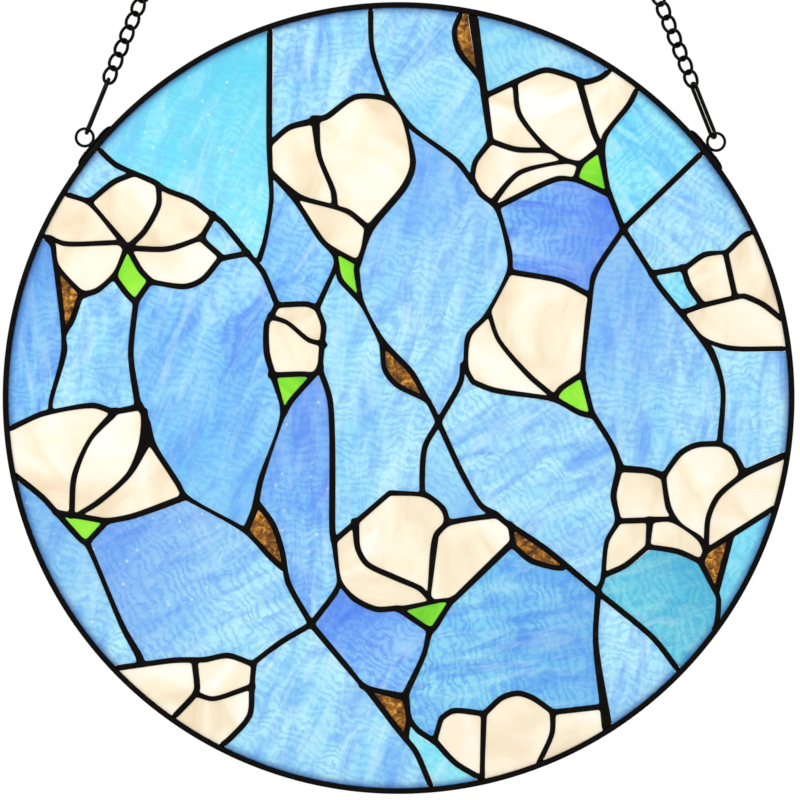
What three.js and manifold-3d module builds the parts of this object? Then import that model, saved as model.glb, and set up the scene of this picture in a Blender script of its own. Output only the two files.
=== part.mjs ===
// A round stained glass window that hangs from two chains: foiled glass in a solder network, in a border came.
// Millimetres, +Z up, the front faces -Y, and the origin is midway between the two hanging links.
import * as THREE from 'three';
import Module from 'manifold-3d';

const wasm = await Module();
wasm.setup();
const { Manifold, Mesh: ManifoldMesh } = wasm;

// Driving dimensions
const PANEL_DIAMETER = 508;
const GLASS_THICKNESS = 3;
const SEAM_WIDTH = 3.75;
const SOLDER_PROUD = 0.9;
const CAME_FACE = 3.2;
const CAME_WALL = 1.0;
const CAME_FLANGE = 1.1;
const CLEARANCE = 0.3;
const STRIP_THICKNESS = 2.2;
const STRIP_WIDTH = 4.4;
const STRIP_LENGTH = 32;
const STRIP_UNDER_RING = 0.8;
const RING_OUTER = 13.1;
const RING_WIRE = 1.9;
const LOOP_LENGTH = 39.3;
const LOOP_WIRE = 2.0;
const LOOP_FOOT_WIDTH = 7.6;
const LOOP_HEAD_WIDTH = 7.4;
const LINK_LENGTH = 13.5;
const LINK_WIDTH = 9.7;
const LINK_WIRE = 2.15;
const LINK_TWIST = 1.45;
const LINK_CONTACT = 0.25;
const LINKS = 8;
const END_LINK_LENGTH = 16.5;
const END_LINK_WIDTH = 12.6;

// Each side's ring angle from the vertical, its chain's lean and its loop's turn, in degrees
const SIDES = {
  left: { sign: -1, ringAngle: 50.3, lean: 22.3, loopTurn: -76 },
  right: { sign: 1, ringAngle: 51.1, lean: 21.8, loopTurn: -68 },
};

// The cartoon is the pattern drawing, x right and y down: where its circle lies in the drawing's own steps,
// and what one step is on the panel
const CARTOON = { x: 398.6, y: 398, steps: 395.6 };
const UNIT = PANEL_DIAMETER / 2 / CARTOON.steps;

// Fineness of the facets
const RIM_SIDES = 72;
const SAGITTA = 1.1;
const SMALLEST_STEP = 0.25;
const WIRE_SIDES = 5;
const LINK_STEPS = 10;

// Seams round the panes and flowers: [x, y] or [x, y, times the seam width]
const OUTER_SEAMS = [
  [[270, 20], [270.5, 45, 1.2], [268.5, 80, 1.2], [268, 110, 1.15], [269.2, 140], [271.8, 170], [271.5, 200, 0.8],
    [269.5, 222, 0.8], [265, 241, 0.8], [259.5, 259]],
  [[86, 138], [97, 150], [106, 158], [127, 171.5], [138, 175], [147, 177], [155, 182.5], [161, 188.5], [171, 191],
    [182, 195], [204, 207], [213, 214], [231, 231.5], [248, 252], [256, 261], [262.5, 271], [270, 287], [277, 304]],
  [[58, 191], [70, 194.5], [80, 198], [89, 202]],
  [[89, 202], [97, 194], [105, 187], [114, 182], [131, 175]],
  [[202, 238], [206.5, 232.5], [210.5, 225], [213, 214]],
  [[200, 237.5], [210, 244.5], [217, 251.5], [221.5, 258]],
  [[221.5, 258], [228, 255.5], [237, 254], [248, 253]],
  [[221.5, 258], [215.5, 267], [207.5, 275.5], [197.5, 283], [186, 286.5], [172, 286.5], [160, 284.5], [151, 281]],
  [[151, 281], [146, 291], [141, 298], [136, 303]],
  [[114, 277], [119, 286], [127, 294], [136, 303]],
  [[115, 275], [108, 283], [101, 288.5], [93, 292.5], [84, 295]],
  [[36, 228], [50.5, 240], [55, 250], [57.2, 262], [58.3, 275], [58.5, 290], [59, 303], [60.5, 317], [64.5, 335, 1.3],
    [64.5, 350, 1.1], [61.5, 362], [56.5, 376], [52, 391, 0.8], [50.5, 412, 0.8]],
  [[58, 268], [64, 277], [71, 284], [79, 291], [85, 295]],
  [[82, 293], [80, 302, 0.8], [77, 312, 0.8], [72, 321], [65, 333]],
  [[136, 301], [134.5, 313], [132, 326], [131, 340], [131, 355], [131.5, 370], [133.5, 384, 1.3], [135.5, 396, 1.4],
    [138, 407, 1.2]],
  [[-2, 434], [12, 427], [24, 421], [36, 415.5], [50, 412], [65, 409], [80, 406.5], [94, 405.5], [105, 408], [115, 412]],
  [[114, 412], [124, 409.5], [133, 407.5], [141, 406]],
  [[140, 406], [145.5, 415], [148.5, 428, 1.2], [150.5, 439, 1.4], [156, 450], [163, 459], [170, 468.5], [176, 479],
    [180.5, 489], [185, 497]],
  [[2, 464], [17, 474], [26, 481.5], [35, 489.5], [43, 497.5], [50, 505.5], [57, 514], [69, 529.5], [77, 537],
    [87, 543.5]],
  [[184, 497], [174, 500.5], [164, 505.5], [152, 510.5], [138, 515], [124, 518], [108, 521]],
  [[108, 521], [101.5, 530], [95, 537], [87, 543.5]],
  [[87, 543], [92.5, 554], [98, 567], [102.5, 580], [106.5, 592], [111, 604], [117, 617], [124, 629], [131, 640, 1.1],
    [137, 650, 1.25], [141, 662, 1.35]],
  [[102, 670], [125, 666.5], [138, 664], [150, 662], [162, 660.7], [175, 660], [186, 661.5], [205, 659.5], [216, 656],
    [228, 655.3], [239, 657.5], [248, 661.5], [254, 664]],
  [[254, 663], [252.8, 672], [253, 685], [253.3, 698], [251.5, 710], [247.5, 720], [240, 729], [231, 737.5], [214, 752]],
  [[254, 662], [262, 654.5], [271, 648], [281, 642], [292, 636.5], [303, 630], [311, 624.5]],
  [[183, 495], [197, 503], [211, 510.5], [225, 518], [236, 524.5], [246, 531], [252, 538.5], [259, 547], [267, 554],
    [275, 561], [281.5, 567]],
  [[282, 416], [276.5, 431], [268.7, 451], [262.3, 471], [259.5, 489], [257, 503, 1.2], [251, 518, 1.2], [246, 530, 1.1]],
  [[258, 503], [267, 513], [273, 524], [279, 538], [282, 550], [283.5, 565], [288, 582], [294, 595], [301.5, 608.5],
    [311, 624]],
  [[311, 624], [320, 636.5], [330, 649], [342, 662], [354, 674], [364, 684.5, 1.1], [371, 694], [378, 706], [387, 717],
    [396, 727], [405, 736.5, 1.2], [412, 745], [418, 756], [424.5, 769], [430, 781], [436, 797]],
  [[362, 686], [378, 690.5, 1.1], [388, 691.7, 1.1], [397, 694.5, 1.2], [405, 697, 1.3]],
  [[311, 625], [317.5, 617.5], [324.5, 609.5], [331, 600.5], [335.5, 592], [339, 584]],
  [[320, 368], [325, 381], [329, 394], [331, 408], [331.3, 424], [331, 440], [330.5, 456], [329.8, 472], [329, 488],
    [329, 503], [330, 518], [332.5, 532, 1.1], [336.5, 548, 1.5], [337, 562, 0.95], [337.3, 573], [339.5, 582],
    [346, 591.5], [354, 598.5], [364, 605], [376, 609], [389, 610], [401, 608, 0.9]],
  [[398, 608.5], [408, 615], [416, 621], [424, 626.5], [431, 631]],
  [[453, 599], [448, 609], [443.5, 616.5], [437.5, 624.5], [431, 631]],
  [[430, 629], [429, 638, 0.9], [426.5, 648, 0.9], [421.5, 659], [415, 670], [410, 681], [406, 690, 1.3],
    [405.5, 699, 1.3], [406, 708], [408.5, 718], [413.5, 726.5], [420.5, 731.5], [428, 736], [434, 741]],
  [[409, 718], [408, 728], [406, 738]],
  [[434, 741], [437, 727], [441, 718], [448, 712.5], [458, 709.7], [470, 711], [483, 713]],
  [[433, 739], [439, 747], [446, 755], [455, 762.5], [465, 769.5], [475, 775.5], [490, 784]],
  [[483, 714], [489, 706.5], [497, 700.5], [507, 695], [518, 693], [528, 695], [538, 701.5], [547, 708.5], [553, 712]],
  [[552, 712], [566, 710], [580, 709.3], [592, 709.5], [601, 707]],
  [[598, 590], [596.5, 603], [595, 618], [594.7, 633], [596.5, 648], [598.5, 662], [600, 676], [600.8, 690],
    [601, 705], [603, 714, 1.2], [605.5, 724, 1.5], [610, 740, 2.2]],
  [[506, 522], [515, 527.5], [526, 533.5], [536, 540], [546, 549], [556, 557.5], [566, 566.5], [577, 575], [588, 583],
    [598, 590], [610, 599.5], [622, 609], [634.5, 619.5], [647.5, 632.5], [659.5, 644.5], [670.5, 658.5], [686, 680]],
  [[510, 524], [510.5, 534], [511.5, 542], [516, 549.5], [525, 557], [536, 563], [548, 567, 0.9], [562, 568, 0.9]],
  [[453, 600], [464, 588.5], [474, 579], [486, 569], [496, 560], [505, 550, 1.1], [512, 543, 1.2]],
  [[447, 523, 1.2], [456, 521.5, 1.3], [468, 519.5], [480, 516.5, 1.1], [492, 514.3, 1.2], [501, 517], [508, 524]],
  [[334, 541], [344, 532], [354, 523.5, 1.2], [363, 514.5], [370, 507.5], [377, 499.5], [386, 494], [394, 492],
    [407, 492.5], [421, 493.5], [431, 497.5], [440, 505], [446, 513], [448.5, 523]],
  [[463, 365], [463.5, 374, 1.3], [461, 381], [456.5, 390], [450.5, 400.5], [444, 411], [436.5, 422], [430.5, 433],
    [426.5, 442], [423.5, 452], [422, 462], [421.8, 474], [422.5, 492]],
  [[381, 340, 1.2], [394, 352.5], [404, 362], [412, 373], [420, 384], [426, 395], [432, 408], [437, 423], [444, 438],
    [451, 452.5], [458, 466], [466, 480.5], [474, 495], [481.5, 506], [492, 513, 1.5]],
  [[381, 341], [381.3, 350], [381.7, 359], [385, 370], [391.5, 381], [401, 387], [411, 392], [421.5, 397.5], [428, 401]],
  [[510, 272], [530, 277], [550, 278], [562, 281.5], [573, 287.5], [589, 295]],
  [[510, 270], [504.5, 282], [499.5, 292], [494, 302.5], [490, 313], [480.5, 320.5], [475, 326], [468.8, 335],
    [466, 347, 0.85], [465.5, 358, 0.85], [465.5, 368, 1.1], [469, 378], [477, 385], [487, 388.8], [500, 390.8],
    [520, 393, 1.2], [535, 394.5, 1.3], [550, 396.5, 1.2], [560, 403], [570, 409], [580, 413], [593, 416]],
  [[497, 208], [501.5, 222], [506, 234], [508.7, 247], [509.8, 259], [510, 272]],
  [[623, 229], [616, 239], [608.5, 250], [601, 260], [595.5, 270.5], [592.5, 280], [590, 291], [588.3, 300],
    [588.5, 310], [588.3, 320], [587, 330], [585, 340], [582.5, 350], [581.8, 360], [582, 371], [582.8, 380],
    [584.8, 390], [587.5, 400], [592, 413], [599, 423], [605.5, 432.5], [610.5, 442], [615.3, 452.5], [620, 466, 1.2]],
  [[619, 468, 1.3], [632, 468, 1.3], [645, 469.5, 1.1], [655, 473, 1.2], [663, 476, 1.3]],
  [[619, 468, 1.2], [615, 484], [613.3, 496, 1.1], [615.5, 509], [618, 521, 1.2], [611, 532], [606.8, 541, 0.85],
    [606, 551, 0.7], [605.5, 562, 0.7], [605, 574], [598, 590, 0.8]],
  [[663, 476], [669, 466.5], [676.5, 457], [685.5, 449], [696, 445], [708, 443.5], [719, 443.5], [728, 447.5],
    [735, 454.5], [740.5, 464], [743.5, 472, 1.3]],
  [[742, 474.5, 1.3], [750, 471.5, 1.2], [762, 466.5, 1.1], [775, 461.5, 1.1], [799, 449, 1.2]],
  [[787, 500], [772, 511.5], [760, 519.5], [748, 526.5], [737, 532.5], [726, 539], [715, 545.5], [706, 551]],
  [[605, 575], [615, 571.5], [625, 565.5], [634, 557.5], [641, 551], [648, 546.5], [660, 547], [672, 549.5],
    [684, 554], [694, 559.5], [701, 562]],
  [[706, 550], [701, 559, 1.1], [701, 566, 1.2], [706, 575, 1.3], [712, 583, 1.2], [717.5, 592], [718.3, 603, 0.8],
    [718.3, 613, 0.8], [716.5, 625], [709, 645]],
  [[731, 537], [727.5, 553], [723.5, 565], [719.5, 577], [716.5, 590, 1.1]],
  [[623, 229], [629, 240], [635, 250.5], [641.5, 261], [648, 271], [655, 281], [663, 291], [672, 301], [680.5, 310],
    [688, 320.5, 1.1], [696, 331.5, 1.2], [704, 341.5, 1.3], [710.5, 351, 1.3], [715.5, 362], [719.5, 374],
    [722.5, 388, 0.9], [723.3, 402, 0.9], [722, 417, 0.9], [720.5, 431], [719.5, 444]],
  [[704, 340], [712, 344], [722, 347], [735, 348.5, 0.8], [750, 349, 0.8], [765, 349, 0.85], [803, 349, 0.9]],
  [[651, 273.5], [664, 271, 1.1], [674, 269.5, 1.1], [683, 268]],
  [[682, 267], [683.5, 276, 1.1], [689, 286, 1.1], [695, 295.5, 1.1], [702, 305, 1.1]],
  [[681, 313], [691, 310, 1.1], [701, 306]],
  [[683, 269], [688, 264.5], [695, 259], [704, 254.8], [714, 254], [725, 254], [728.5, 249], [735, 242], [744, 235.5],
    [765, 227]],
  [[712, 143], [698, 156], [686, 167], [674, 178.5], [661, 190.5], [649, 203], [638, 215], [622.5, 230]],
  [[642, 80], [635.5, 95.5], [629, 104.5], [620.5, 114.5], [612, 125], [605, 135.5], [601.5, 147, 1.4],
    [601.7, 158, 1.25], [603, 170, 0.95], [606, 183, 0.95], [611, 200], [617, 215], [623, 230]],
  [[484, 97], [497, 93], [508, 87.3], [515, 84.5, 1.2], [521, 80], [529, 75.5], [540, 71], [551, 70.3], [562, 73.3],
    [572, 78], [580, 82.5, 1.2], [590, 81], [600, 78], [618, 64]],
  [[497, 207], [508, 202.5], [520, 196], [531, 189.5], [542, 184], [553, 180], [563, 178], [573, 178.5], [580, 182],
    [590, 188], [600, 192], [609, 195]],
  [[471, 3, 1.8], [472.5, 20, 1.7], [474.7, 30, 1.5], [477, 40, 1.25], [479, 50, 1.1], [480, 65], [481.3, 80],
    [483, 93, 1.1], [485.3, 105, 1.4], [486, 118], [487.7, 130], [490.5, 142]],
  [[464, 4], [459, 16], [455, 26, 0.9], [454.3, 36, 0.9], [456.5, 46], [461, 55.5], [467.5, 64], [474, 71.5], [480, 79]],
  [[490, 141], [483, 149], [477, 158], [473.5, 167, 0.9], [472, 178], [476.5, 189], [485, 198], [497, 208]],
  [[370, 0], [370.7, 30], [372.3, 50, 0.9], [378, 71, 0.9], [385.5, 91, 0.9], [391, 101], [398, 110.5, 1.1],
    [406, 122, 1.1], [412, 128, 0.9], [425, 137, 0.9], [440, 146.5, 0.9], [452, 156.5], [463, 168], [472, 181]],
  [[270, 143], [275, 137], [284, 130.5], [294, 125.5], [304, 122, 1.1], [314, 121, 1.2], [322, 120, 1.1],
    [331, 113.5], [341, 105.5], [350, 99], [360, 96.3], [370, 96], [381, 97.5], [391, 102]],
  [[404, 120], [406.5, 129.5, 1.1], [409, 141, 1.1], [412.5, 153, 1.1], [413, 164, 1.1], [410.5, 175, 1.2],
    [405.5, 185, 1.2], [398, 194.5], [389, 204], [380, 213.5], [373, 221], [368.7, 230, 1.6], [367.5, 240, 1.1],
    [363.5, 249.5], [358.5, 259], [356.5, 268], [357, 278, 0.9], [358.5, 290, 0.9], [361, 301], [366, 313],
    [371.5, 324], [377.5, 334.5], [382, 342, 1.2]],
  [[272, 173], [280, 181.5], [288, 189], [295, 198], [299, 207], [305, 217.5], [312, 228], [320, 238],
    [328, 246.5, 1.1], [335, 255], [336, 267, 1.2], [340, 279], [346, 288], [352.5, 295.5], [360, 302]],
  [[336, 266], [333, 275, 1.2], [329.5, 281.5], [324.5, 292], [319.5, 302], [317, 308]],
  [[277, 305], [271, 313.5], [267, 323], [265.5, 334, 1.1], [266, 346, 1.1], [267.7, 358, 1.1], [270.7, 370],
    [273.7, 381], [277, 392], [280, 403], [283.5, 414]],
  [[277, 305], [286, 304.3], [297, 302.5], [308, 304.3], [317, 308], [321.5, 316], [323.7, 326], [324, 338],
    [323.2, 350], [321.5, 361], [319, 368.5]],
  [[321, 367], [313.5, 374.5], [306, 382], [298, 391], [291, 401], [283, 415]],
];

// Seams inside a flower, between its petals and above its calyx
const INNER_SEAMS = [
  [[88, 201], [97, 211], [105, 221], [112, 230], [119, 239], [128, 248]],
  [[159, 187], [160, 199], [157, 210], [151.5, 221], [144.5, 231.5], [136.5, 241], [127, 249.5]],
  [[126, 248.5], [143, 250], [156, 250.5], [168, 249], [180, 245.5], [191, 240], [203, 237]],
  [[127, 247], [131, 257], [137, 266], [145, 275], [152, 282]],
  [[50, 238], [58, 242.5, 0.9], [70, 244, 0.9], [85, 244, 0.9], [100, 242.5], [112, 241.3], [120, 242.5], [128, 249]],
  [[127, 247], [122, 258, 0.8], [117.5, 267, 0.8], [113.5, 278, 0.8]],
  [[115, 411, 1.2], [105, 420.5, 0.8], [97.5, 429, 0.8], [90.5, 439, 0.8], [84.5, 450, 0.9], [79, 463], [74.5, 476],
    [72.3, 490], [71.5, 503], [71.5, 516]],
  [[145, 412, 1.2], [146.3, 422, 1.3], [146, 433, 1.6], [144.5, 444, 2], [140.5, 455, 1.5], [135.5, 465], [129, 474.5],
    [121, 483.5], [112.5, 491.5], [102.5, 499], [93, 506], [80, 513.5]],
  [[56, 512.5], [68, 515], [80, 515.3], [92, 517, 1.1], [108, 521]],
  [[195, 661, 1.1], [197, 673], [197.3, 684], [196, 694, 1.2], [189, 699.5], [182, 707], [174, 715.5], [165, 726]],
  [[196, 694], [207, 698.5, 0.85], [218, 698, 0.85], [228, 695.5, 0.85], [239, 690.5, 0.85], [253, 686]],
  [[355, 522, 1.4], [355.5, 538], [358, 549], [363.5, 560], [371, 567], [382, 572.5], [394, 577], [407, 581],
    [417, 586], [424, 592], [430, 599]],
  [[447, 523, 1.1], [440.5, 528], [436, 535], [434, 545, 0.85], [433.3, 557, 0.85], [432.3, 570, 0.8], [430, 583, 0.7],
    [428.5, 598, 0.7]],
  [[399, 609], [408, 607, 0.85], [420, 603, 0.85], [431, 600.5, 0.7], [441, 600.3, 0.7], [454, 599.5, 0.8]],
  [[484, 713], [483.5, 725, 0.85], [484.7, 735, 0.85], [484.5, 745, 0.85], [483, 757, 0.85], [482, 769, 0.85], [482, 792]],
  [[553, 712, 1.1], [553.5, 722, 0.9], [552, 733, 0.9], [547.5, 744, 0.9], [542, 756, 0.9], [533, 776]],
  [[663, 476], [664, 490], [667, 503], [671, 514, 1.1], [677, 522]],
  [[619, 521], [635, 520.5, 1.1], [650, 519.3, 1.1], [662, 518.5], [674, 519]],
  [[671, 519], [678, 523], [687, 528.3], [696, 535.3], [703, 542.5], [706, 551]],
  [[741, 476, 1.2], [731, 483], [722, 491], [714, 502], [709.5, 512], [707, 523, 0.9], [705.5, 535, 0.9], [705.5, 548]],
  [[650, 520, 1.3], [649.3, 529, 1.1], [648, 538, 0.8], [647.5, 547, 0.8]],
  [[700, 306], [711, 303.5, 0.9], [722, 300.5, 0.9], [733, 295.8, 0.9], [743, 295.8, 0.9], [752, 298], [762, 304],
    [772, 311.5], [782, 319.5], [797, 331]],
  [[725, 253], [726, 263, 0.95], [727.5, 272], [730, 282], [734.5, 296]],
  [[489.5, 315], [492, 327, 0.8], [498, 339, 0.8], [506, 350, 0.85], [514, 360, 0.85], [523, 370, 0.85], [534, 380],
    [545, 389], [554, 397]],
  [[583, 373], [574, 378, 0.95], [566, 383], [560, 389], [554, 398]],
  [[272, 174], [281, 183, 1.1], [290, 191.5, 1.1], [300, 197.5, 1.1], [310, 200, 1.1], [321, 202.3, 1.1],
    [333, 205], [343, 208.7, 0.95], [353, 215], [361, 221], [369, 228]],
  [[315, 120, 1.6], [315.7, 131, 1.4], [316, 141, 0.95], [317.5, 151, 0.9], [321.5, 161, 0.95], [326.5, 170.5],
    [331, 181], [333.5, 192], [334.7, 205, 1.1]],
  [[329, 247], [340, 254], [349, 259.3], [359, 262]],
  [[270, 316], [279, 317.7, 0.8], [287, 322.5, 0.8], [294, 329, 0.85], [301, 335.3, 0.85], [309, 340.3, 0.85],
    [317, 343.3, 0.85], [325, 345, 0.9]],
  [[270.5, 375], [281, 373.7, 0.95], [292, 372.8, 0.95], [303, 374, 0.95], [313, 375]],
  [[514.5, 84], [515, 97, 0.85], [517, 108.5, 0.85], [521.5, 119], [528, 128.5], [535.5, 137.5], [543.5, 146],
    [551, 152.3], [560, 158.5], [571, 162.3], [581, 164.5]],
  [[490, 141.5], [500, 146], [510, 148.8], [522, 150], [535, 150.3], [548, 151]],
  [[564, 161.5], [556, 162.2, 0.8], [545, 165, 0.8], [534, 167.3, 0.8], [524, 170.7, 0.85], [514, 176, 0.9],
    [507.5, 183, 0.95], [500, 192], [494, 202, 1.2]],
  [[579, 82, 1.2], [581.5, 93, 1.3], [584, 104, 1.35], [587.5, 117, 1.35], [592, 129, 1.2], [597, 139], [601, 148]],
  [[579, 165], [586, 160.5], [592, 155.7], [601, 148]],
  [[580, 164], [576.8, 171, 0.8], [575, 179, 0.9]],
];

// One point inside each pane of the sky, each leaf and each flower
const SKY_PANES = [
  [200, 120], [320, 60], [430, 100], [540, 45], [95, 175], [650, 150], [690, 215], [560, 230], [430, 260], [300, 260],
  [222, 240], [30, 340], [95, 350], [200, 380], [300, 480], [370, 430], [445, 490], [530, 460], [650, 370], [680, 290],
  [760, 400], [745, 560], [665, 600], [630, 680], [530, 630], [370, 640], [310, 730], [190, 590], [75, 600], [440, 770],
];
const LEAVES = [[467, 42], [69, 303], [404, 375], [265, 538], [535, 552], [715, 562], [392, 708]];
const FLOWERS = {
  top_left: [125, 215], top: [365, 150], top_right: [555, 110], upper_right: [740, 320], right: [540, 320],
  left: [50, 450], lower: [400, 530], lower_right: [700, 480], bottom: [515, 740], lower_left: [160, 690],
  bud: [295, 355],
};

const GLASS = {
  sky: ['#8fd0fa', '#7cc4f8', '#9bdcfb', '#6fb7f5'],
  petal: '#f8ead0',
  leaf: '#a86a14',
};
const METAL = { color: '#14110f', roughness: 0.5, metalness: 0.6 };

const panelRadius = PANEL_DIAMETER / 2;
const cameThickness = GLASS_THICKNESS + 2 * (CLEARANCE + CAME_FLANGE);
const solderThickness = GLASS_THICKNESS + 2 * SOLDER_PROUD;

function drawn([x, y]) {
  return new THREE.Vector2((x - CARTOON.x) * UNIT, (CARTOON.y - y) * UNIT);
}

// Solids in and out of the boolean library
function toManifold(geometry) {
  const plain = geometry.index ? geometry.toNonIndexed() : geometry;
  const mesh = new ManifoldMesh({
    numProp: 3,
    vertProperties: new Float32Array(plain.attributes.position.array),
    triVerts: Uint32Array.from({ length: plain.attributes.position.count }, (_, i) => i),
  });
  mesh.merge();
  return new Manifold(mesh);
}

function toGeometry(solid) {
  const { vertProperties, triVerts, numProp } = solid.getMesh();
  const places = new Float32Array(triVerts.length * 3);
  triVerts.forEach((vertex, i) => {
    for (let k = 0; k < 3; k += 1) places[i * 3 + k] = vertProperties[vertex * numProp + k];
  });
  const geometry = new THREE.BufferGeometry();
  geometry.setAttribute('position', new THREE.BufferAttribute(places, 3));
  geometry.computeVertexNormals();
  return geometry;
}

// A flat plate centred on the panel's middle plane, which is z = 0 while it is made
function plate(points, thickness) {
  const options = { depth: thickness, bevelEnabled: false, steps: 1 };
  const geometry = new THREE.ExtrudeGeometry(new THREE.Shape(points), options);
  geometry.translate(0, 0, -thickness / 2);
  return toManifold(geometry);
}

function disc(radius, thickness) {
  const points = Array.from({ length: RIM_SIDES }, (_, i) => {
    const turn = (2 * Math.PI * i) / RIM_SIDES;
    return new THREE.Vector2(radius * Math.cos(turn), radius * Math.sin(turn));
  });
  return plate(points, thickness);
}

// Points along a seam's middle, closer together where it bends; each end overruns into the seam that it meets
function seamStations(seam) {
  const points = seam.map((p) => new THREE.Vector3(drawn(p).x, drawn(p).y, 0));
  const curve = new THREE.CatmullRomCurve3(points, false, 'centripetal');
  const spans = seam.length - 1;
  const stations = [0];
  const bow = (from, to) => {
    const middle = curve.getPoint((from + to) / 2);
    return new THREE.Line3(curve.getPoint(from), curve.getPoint(to))
      .closestPointToPoint(middle, true, new THREE.Vector3()).distanceTo(middle);
  };
  const finest = 1 / (spans * 2);
  while (stations.at(-1) < 1 - 1e-6) {
    const from = stations.at(-1);
    let to = from + finest;
    while (to < 1 - 1e-6 && bow(from, Math.min(1, to + finest)) < SAGITTA) to += finest;
    stations.push(to > 1 - finest / 2 ? 1 : to);
  }
  return stations.map((t) => {
    const at = t * spans;
    const i = Math.min(Math.floor(at), spans - 1);
    const width = THREE.MathUtils.lerp(seam[i][2] ?? 1, seam[i + 1][2] ?? 1, at - i);
    const along = curve.getTangent(t);
    return { at: curve.getPoint(t), along, side: new THREE.Vector3(-along.y, along.x, 0).normalize(), width };
  });
}

function seamSolid(seam, grow, thickness) {
  const stations = seamStations(seam);
  const overrun = (end, sign) => end.at.addScaledVector(end.along, sign * ((SEAM_WIDTH * end.width) / 2 + grow));
  overrun(stations[0], -1);
  overrun(stations.at(-1), 1);
  const edge = (sign) => stations.map(({ at, side, width }) => {
    const place = at.clone().addScaledVector(side, sign * ((SEAM_WIDTH * width) / 2 + grow));
    return new THREE.Vector2(place.x, place.y);
  });
  return plate([...edge(-1), ...edge(1).reverse()], thickness);
}

// Whether a flat solid covers a point of the cartoon
function covers(solid, point) {
  const { x, y } = drawn(point);
  const { vertProperties: v, triVerts: t, numProp: n } = solid.getMesh();
  for (let i = 0; i < t.length; i += 3) {
    const [a, b, c] = [t[i], t[i + 1], t[i + 2]].map((k) => [v[k * n], v[k * n + 1]]);
    const turn = (p, q) => (q[0] - p[0]) * (y - p[1]) - (q[1] - p[1]) * (x - p[0]);
    if (turn(a, b) > 0 && turn(b, c) > 0 && turn(c, a) > 0) return true;
  }
  return false;
}

const panel = new THREE.Group();
const upright = new THREE.Group();
upright.rotation.x = Math.PI / 2;
panel.add(upright);

function addPart(parent, name, geometry, finish) {
  const part = new THREE.Mesh(geometry, new THREE.MeshStandardMaterial(finish));
  part.name = name;
  parent.add(part);
  return part;
}

// Glass: the disc, less the seams, falls apart into the panes
const glassRadius = panelRadius - CAME_WALL - CLEARANCE;
const wideSeams = Manifold.union(OUTER_SEAMS.map((seam) => seamSolid(seam, CLEARANCE, 2 * GLASS_THICKNESS)));
const panes = disc(glassRadius, GLASS_THICKNESS).subtract(wideSeams).decompose();

function pane(name, point, color) {
  const found = panes.filter((solid) => covers(solid, point));
  if (found.length !== 1) throw new Error(`${name}: ${found.length} panes at ${point}`);
  addPart(upright, name, toGeometry(found[0]), { color, roughness: 0.2, metalness: 0 });
}

SKY_PANES.forEach((point, i) => {
  pane(`sky_pane_${String(i + 1).padStart(2, '0')}`, point, GLASS.sky[i % GLASS.sky.length]);
});
LEAVES.forEach((point, i) => pane(`leaf_${i + 1}`, point, GLASS.leaf));
Object.entries(FLOWERS).forEach(([name, point]) => pane(name === 'bud' ? 'bud' : `flower_${name}`, point, GLASS.petal));

// Solder: the seams round each pane go right through, those inside a flower lie on the front and back
const glassLayer = disc(panelRadius, GLASS_THICKNESS + 2 * CLEARANCE);
const throughSeams = Manifold.union(OUTER_SEAMS.map((seam) => seamSolid(seam, 0, solderThickness)));
const petalSeams = Manifold.union(INNER_SEAMS.map((seam) => seamSolid(seam, 0, solderThickness))).subtract(glassLayer);
const network = throughSeams.add(petalSeams)
  .intersect(disc(panelRadius - CAME_FACE - CLEARANCE, 2 * solderThickness));
const networkPieces = network.decompose().sort((a, b) => b.volume() - a.volume());
addPart(upright, 'solder_network', toGeometry(networkPieces[0].simplify(SMALLEST_STEP)), METAL);

// Border came: a U channel, open inwards, that the rim of the glass sits in
function cameProfile() {
  const half = cameThickness / 2;
  const slot = half - CAME_FLANGE;
  const inner = panelRadius - CAME_FACE;
  const floor = panelRadius - CAME_WALL;
  return [
    [inner, -half], [panelRadius, -half], [panelRadius, half], [inner, half],
    [inner, slot], [floor, slot], [floor, -slot], [inner, -slot], [inner, -half],
  ].map(([x, y]) => new THREE.Vector2(x, y));
}
addPart(panel, 'border_came', toGeometry(toManifold(new THREE.LatheGeometry(cameProfile(), RIM_SIDES))), METAL)
  .rotation.y = Math.PI / 2;

// A closed wire through points, with a section of few sides that lie half in and half out of the round one
function wireLoop(points, wire) {
  const radius = wire / 2 / Math.sqrt(Math.cos(Math.PI / WIRE_SIDES));
  const count = points.length;
  const places = [];
  const rings = points.map((at, i) => {
    const along = points[(i + 1) % count].clone().sub(points[(i + count - 1) % count]).normalize();
    const out = at.clone().sub(loopCentre(points));
    out.addScaledVector(along, -out.dot(along)).normalize();
    const across = along.clone().cross(out);
    return Array.from({ length: WIRE_SIDES }, (_, k) => {
      const turn = (2 * Math.PI * k) / WIRE_SIDES;
      return at.clone().addScaledVector(out, radius * Math.cos(turn)).addScaledVector(across, radius * Math.sin(turn));
    });
  });
  rings.forEach((ring, i) => {
    const next = rings[(i + 1) % count];
    for (let k = 0; k < WIRE_SIDES; k += 1) {
      const l = (k + 1) % WIRE_SIDES;
      for (const p of [ring[k], ring[l], next[l], ring[k], next[l], next[k]]) places.push(p.x, p.y, p.z);
    }
  });
  const geometry = new THREE.BufferGeometry();
  geometry.setAttribute('position', new THREE.Float32BufferAttribute(places, 3));
  const solid = toManifold(geometry);
  if (solid.volume() > 0) return solid;
  for (let i = 0; i < places.length; i += 9) {
    for (let k = 0; k < 3; k += 1) [places[i + 3 + k], places[i + 6 + k]] = [places[i + 6 + k], places[i + 3 + k]];
  }
  geometry.setAttribute('position', new THREE.Float32BufferAttribute(places, 3));
  return toManifold(geometry);
}

function loopCentre(points) {
  return points.reduce((sum, p) => sum.add(p), new THREE.Vector3()).divideScalar(points.length);
}

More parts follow.
